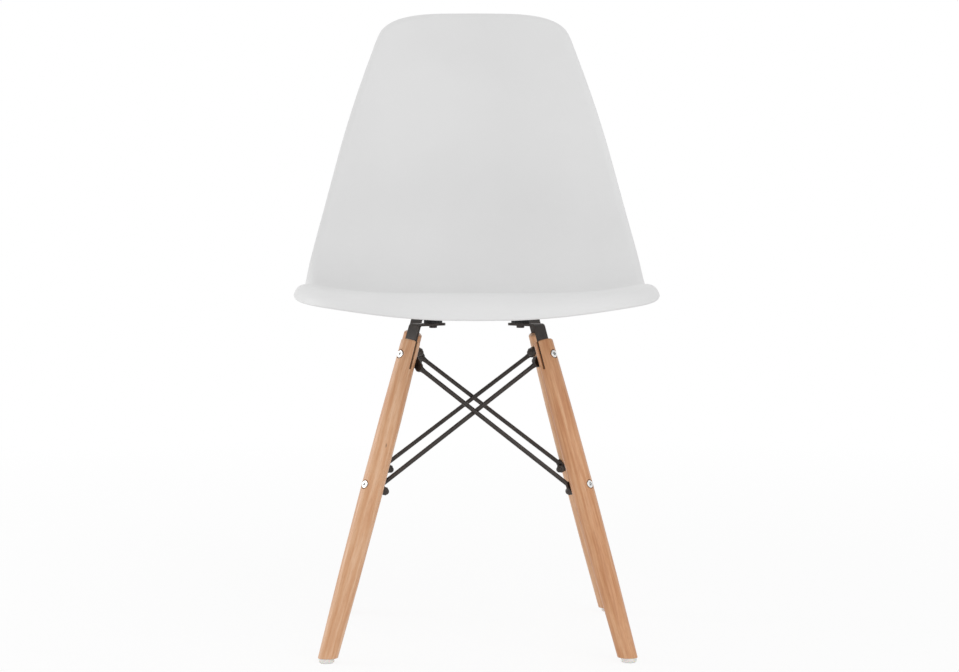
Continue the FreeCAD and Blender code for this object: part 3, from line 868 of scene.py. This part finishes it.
@dataclass
class Braces:
    """The crossed rods, with their flattened ends and necks.

    The outer and the inner rod of a pair have their upper and lower bend at these offsets from
    the bolt: outwards across the leg, and upwards along it.
    """

    stance: Stance
    rod_radius: float = 0.0028
    rod_sides: int = 32
    neck: float = 0.010
    neck_width: float = 0.0040
    neck_wall_share: float = 0.48
    neck_steps: int = 8
    crease: float = 30.0
    outer: tuple[Span, Span] = ((0.0122, -0.0097), (0.0040, 0.0056))
    inner: tuple[Span, Span] = ((0.0055, -0.0040), (-0.0060, 0.0044))
    steel: CoatedSteel = CoatedSteel("brace_coat")

    def bend(self, corner: Corner, crossing: Crossing, offset: Span) -> tuple[Vector, Vector]:
        """Where a rod's flattened end turns into the rod.

        Args:
            corner: The leg's corner.
            crossing: Where the bolt crosses the leg.
            offset: The bend's offset from the bolt, outwards and upwards.

        Returns:
            The bend's middle, and the direction square to the flattened end.
        """
        out, step = offset
        leg = self.stance.leg(corner)
        depth = -(crossing.radius + self.stance.flat_gap + self.stance.flat_wall / 2)
        middle = leg @ Vector((depth, out * corner.side * corner.end, crossing.height + step))
        return middle, (leg.to_3x3() @ Vector((1.0, 0.0, 0.0))).normalized()

    def neck_piece(self, start: Vector, ahead: Vector, square: Vector) -> bpy.types.Object:
        """The run from the flattened end to the round rod.

        Args:
            start: The bend's middle.
            ahead: The way the rod runs from there.
            square: The direction square to the flattened end.

        Returns:
            The neck, in its place.
        """
        bpy.ops.object.select_all(action="DESELECT")
        bpy.ops.mesh.primitive_circle_add(vertices=self.rod_sides, radius=self.rod_radius,
                                          fill_type="NGON", location=(0.0, 0.0, self.neck))
        neck = settle()
        edit(neck, Pick.FACES)
        bpy.ops.mesh.select_all(action="SELECT")
        wide = self.neck_width / self.rod_radius
        thin = self.stance.flat_wall * self.neck_wall_share / self.rod_radius
        before = (1.0, 1.0)
        for index in range(1, self.neck_steps + 1):
            share = index / self.neck_steps
            ease = share * share * (3 - 2 * share)
            now = (1 + (wide - 1) * ease, 1 + (thin - 1) * ease)
            bpy.ops.mesh.extrude_region_move(
                TRANSFORM_OT_translate={"value": (0.0, 0.0, -self.neck / self.neck_steps)})
            bpy.ops.transform.resize(value=(now[0] / before[0], now[1] / before[1], 1.0),
                                     center_override=(0.0, 0.0, self.neck * (1 - share)))
            before = now
        bpy.ops.mesh.select_all(action="SELECT")
        bpy.ops.mesh.normals_make_consistent(inside=False)
        leave()
        across = square.cross(ahead).normalized()
        thin_way = ahead.cross(across).normalized()
        turn = Matrix((across, thin_way, ahead)).transposed().to_4x4()
        neck.data.transform(Matrix.Translation(start) @ turn)
        return neck

    def rod(self, nodes: Nodes, name: str, upper: Corner, lower: Corner, offsets: tuple[Span, Span],
            coat: bpy.types.Material) -> None:
        """Make one rod.

        Args:
            nodes: The frame's nodes by name.
            name: The node's name.
            upper: The corner where the rod is held high.
            lower: The corner where it is held low.
            offsets: The upper and the lower bend's offset from its bolt.
            coat: The rod's finish.
        """
        piece = merged_copy(nodes[name], "rod_" + name)
        high, high_square = self.bend(upper, self.stance.upper, offsets[0])
        low, low_square = self.bend(lower, self.stance.lower, offsets[1])
        ahead = (low - high).normalized()
        for start, way, square in ((high, ahead, high_square), (low, -ahead, low_square)):
            combine(piece, self.neck_piece(start, way, square), Join.ADD)
        smooth(piece, self.crease)
        finish_piece(piece, coat, Slot.BRACE, name)

    def build(self, nodes: Nodes) -> None:
        """Make all four rods.

        Args:
            nodes: The frame's nodes by name.
        """
        coat = self.steel.make()
        pairs = {
            "front": (Corner.FRONT_LEFT, Corner.FRONT_RIGHT),
            "rear": (Corner.REAR_LEFT, Corner.REAR_RIGHT),
        }
        for end, (left, right) in pairs.items():
            self.rod(nodes, end + "_brace_left", left, right, self.outer, coat)
            self.rod(nodes, end + "_brace_right", right, left, self.inner, coat)


@dataclass
class Fasteners:
    """Bolts, cap nuts and seat screws."""

    stance: Stance
    sunk: float = 0.0032
    head_radius: float = 0.005
    head_height: float = 0.003
    head_sides: int = 40
    head_bevel: float = 0.0009
    head_bevel_steps: int = 4
    shank_radius: float = 0.0029
    tip_bevel: float = 0.0004
    socket_width: float = 0.0046
    socket_depth: float = 0.004
    nut_width: float = 0.010
    nut_height: float = 0.005
    nut_bevel: float = 0.0006
    nut_bevel_steps: int = 2
    dome_radius: float = 0.0044
    dome_sides: int = 28
    dome_rings: int = 16
    crease: float = 40.0
    tab_height: float = 0.403
    screw_reach: float = 0.018

    def screw(self, name: str, reach: float) -> bpy.types.Object:
        """A round head with a rounded rim, a shank and a hexagon socket, its seat at the origin.

        Args:
            name: The model's name.
            reach: The shank's length.

        Returns:
            The screw, its head upwards.
        """
        screw = prism(self.head_sides, self.head_radius, self.head_height, self.head_height / 2)
        screw.name = name
        edit(screw, Pick.FACES)
        pick_faces(screw, lambda face: face.normal.z > FACES_THAT_WAY)
        bpy.ops.mesh.bevel(offset=self.head_bevel, segments=self.head_bevel_steps, affect="EDGES")
        pick_faces(screw, lambda face: face.normal.z < -FACES_THAT_WAY)
        bpy.ops.mesh.inset(thickness=self.head_radius - self.shank_radius, depth=0.0)
        bpy.ops.mesh.extrude_region_move(TRANSFORM_OT_translate={"value": (0.0, 0.0, -reach)})
        bpy.ops.mesh.inset(thickness=self.tip_bevel, depth=self.tip_bevel)
        leave()
        cutter = hexagon(self.socket_width, self.socket_depth * 2, self.head_height)
        combine(screw, cutter, Join.CUT)
        smooth(screw, self.crease)
        return screw

    def cap_nut(self) -> bpy.types.Object:
        """A hexagon nut with a domed cap, its seat at the origin.

        Returns:
            The nut, Z upwards.
        """
        nut = hexagon(self.nut_width, self.nut_height, self.nut_height / 2)
        nut.name = "cap_nut_model"
        apply(nut, "BEVEL", width=self.nut_bevel, segments=self.nut_bevel_steps,
              limit_method="ANGLE", angle_limit=math.radians(self.crease))
        bpy.ops.object.select_all(action="DESELECT")
        bpy.ops.mesh.primitive_uv_sphere_add(segments=self.dome_sides, ring_count=self.dome_rings,
                                             radius=self.dome_radius,
                                             location=(0.0, 0.0, self.nut_height))
        combine(nut, settle(), Join.ADD)
        smooth(nut, self.crease)
        return nut

    def build(self) -> None:
        """Make every bolt, nut and seat screw."""
        bright = BrightSteel().make()
        coat = CoatedSteel("fastener_coat").make()
        upside_down = Matrix.Rotation(math.radians(180), 4, "X")
        flat = self.stance.flat_wall + self.stance.flat_gap
        nut = self.cap_nut()
        for level, crossing in (("upper", self.stance.upper), ("lower", self.stance.lower)):
            reach = 2 * crossing.radius - self.sunk + flat + self.nut_height
            bolt = self.screw("bolt_model_" + level, reach)
            outside = Matrix.Translation(Vector((0.0, 0.0, crossing.radius - self.sunk)))
            inside = Matrix.Translation(Vector((0.0, 0.0, -crossing.radius - flat)))
            for corner in Corner:
                frame = self.stance.bolt(corner, crossing.height)
                piece = placed_copy(bolt, "%s_bolt_%s" % (level, corner.title), frame @ outside)
                finish_piece(piece, bright, None)
                piece = placed_copy(nut, "%s_nut_%s" % (level, corner.title), frame @ inside @ upside_down)
                finish_piece(piece, coat, Slot.BRACE)
            discard(bolt)
        discard(nut)
        screw = self.screw("seat_screw_model", self.screw_reach)
        for corner in Corner:
            frame = self.stance.screw(corner, self.tab_height)
            piece = placed_copy(screw, "seat_screw_" + corner.title, frame @ upside_down)
            finish_piece(piece, coat, Slot.BRACKET)
        discard(screw)


# Studio


@dataclass(frozen=True)
class Lamp:
    """A soft square lamp: its place, its width, and its power in watts."""

    name: str
    place: Triple
    size: float
    power: float

    def hang(self, target: Vector) -> None:
        """Add the lamp to the scene.

        Args:
            target: What it points at.
        """
        data = bpy.data.lights.new(self.name, "AREA")
        data.size = self.size
        data.energy = self.power
        lamp = bpy.data.objects.new(self.name, data)
        lamp.location = self.place
        lamp.rotation_euler = (target - Vector(self.place)).to_track_quat("-Z", "Y").to_euler()
        bpy.context.scene.collection.objects.link(lamp)


@dataclass
class Studio:
    """Camera, floor and soft light.

    The camera's yaw is in radians. The floor glows white to the eye, a little less near the chair,
    where its shadow shows, and fully past the end of shadow_reach.
    """

    focal_pixels: float = 2376.0
    sensor: float = 36.0
    eye: Triple = (-0.0351, -3.0649, 0.545)
    pitch: float = 3.0
    yaw: float = 0.013
    floor_size: float = 14.0
    floor_colour: Colour = (0.94, 0.94, 0.94)
    glow_share: float = 0.88
    shadow_reach: Span = (0.6, 2.6)
    ambient: float = 0.69
    aim: Triple = (0.0, 0.0, 0.45)
    lamps: tuple[Lamp, ...] = (
        Lamp("front_lamp", (1.3, -2.2, 2.6), 2.0, 18.0),
        Lamp("low_lamp", (0.4, -3.0, 0.5), 1.6, 8.5),
        Lamp("left_rim_lamp", (-2.2, 0.5, 1.0), 1.2, 12.0),
    )

    def camera(self) -> None:
        """Place the camera where the photograph was taken from."""
        data = bpy.data.cameras.new("camera")
        data.sensor_width = self.sensor
        data.sensor_fit = "HORIZONTAL"
        data.lens = self.focal_pixels * self.sensor / PHOTO_WIDTH
        camera = bpy.data.objects.new("camera", data)
        camera.location = self.eye
        camera.rotation_euler = (math.radians(90 - self.pitch), 0.0, -self.yaw)
        bpy.context.scene.collection.objects.link(camera)
        bpy.context.scene.camera = camera

    def floor(self) -> None:
        """Lay a plain white floor that keeps a faint shadow near the chair and fades out."""
        bpy.ops.object.select_all(action="DESELECT")
        bpy.ops.mesh.primitive_plane_add(size=self.floor_size, location=(0.0, 0.0, 0.0))
        floor = bpy.context.object
        floor.name = "studio_floor"
        material = bpy.data.materials.new("studio_floor")
        material.use_nodes = True
        material.node_tree.nodes.clear()
        wiring = Wiring(material.node_tree)
        diffuse = wiring.node("ShaderNodeBsdfDiffuse", Color=self.floor_colour)
        glow = wiring.node("ShaderNodeEmission", Strength=1.0)
        place = wiring.node("ShaderNodeTexCoord").outputs["Object"]
        distance = wiring.node("ShaderNodeVectorMath", place, settings={"operation": "LENGTH"})
        fade = wiring.between(distance.outputs["Value"], self.shadow_reach, (self.glow_share, 1.0))
        share = wiring.node("ShaderNodeMath", wiring.seen(), fade, settings={"operation": "MULTIPLY"})
        mix = wiring.node("ShaderNodeMixShader", share.outputs["Value"], diffuse.outputs["BSDF"],
                          glow.outputs["Emission"])
        wiring.node("ShaderNodeOutputMaterial", Surface=mix.outputs["Shader"])
        floor.data.materials.append(material)

    def world(self) -> None:
        """Even light from all round, white where it is looked at."""
        world = bpy.data.worlds.new("studio")
        world.use_nodes = True
        wiring = Wiring(world.node_tree)
        background = world.node_tree.nodes["Background"]
        wiring.feed(background, "Color", WHITE)
        wiring.feed(background, "Strength", wiring.between(wiring.seen(), NO_TO_YES, (self.ambient, 1.0)))
        bpy.context.scene.world = world

    def build(self) -> None:
        """Set up the whole studio."""
        self.camera()
        self.floor()
        self.world()
        for lamp in self.lamps:
            lamp.hang(Vector(self.aim))
        bpy.context.scene.view_settings.view_transform = "Standard"


def main() -> None:
    """Dress the chair round its frame and set up the studio."""
    logging.basicConfig(level=logging.INFO, format="%(name)s %(message)s")
    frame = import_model()
    nodes = frame["nodes"]
    stance = Stance()
    Studio().build()
    SeatShell().build(nodes)
    Legs(stance).build(nodes)
    Brackets().build(nodes)
    Braces(stance).build(nodes)
    Fasteners(stance).build()


if __name__ == "__main__":
    main()
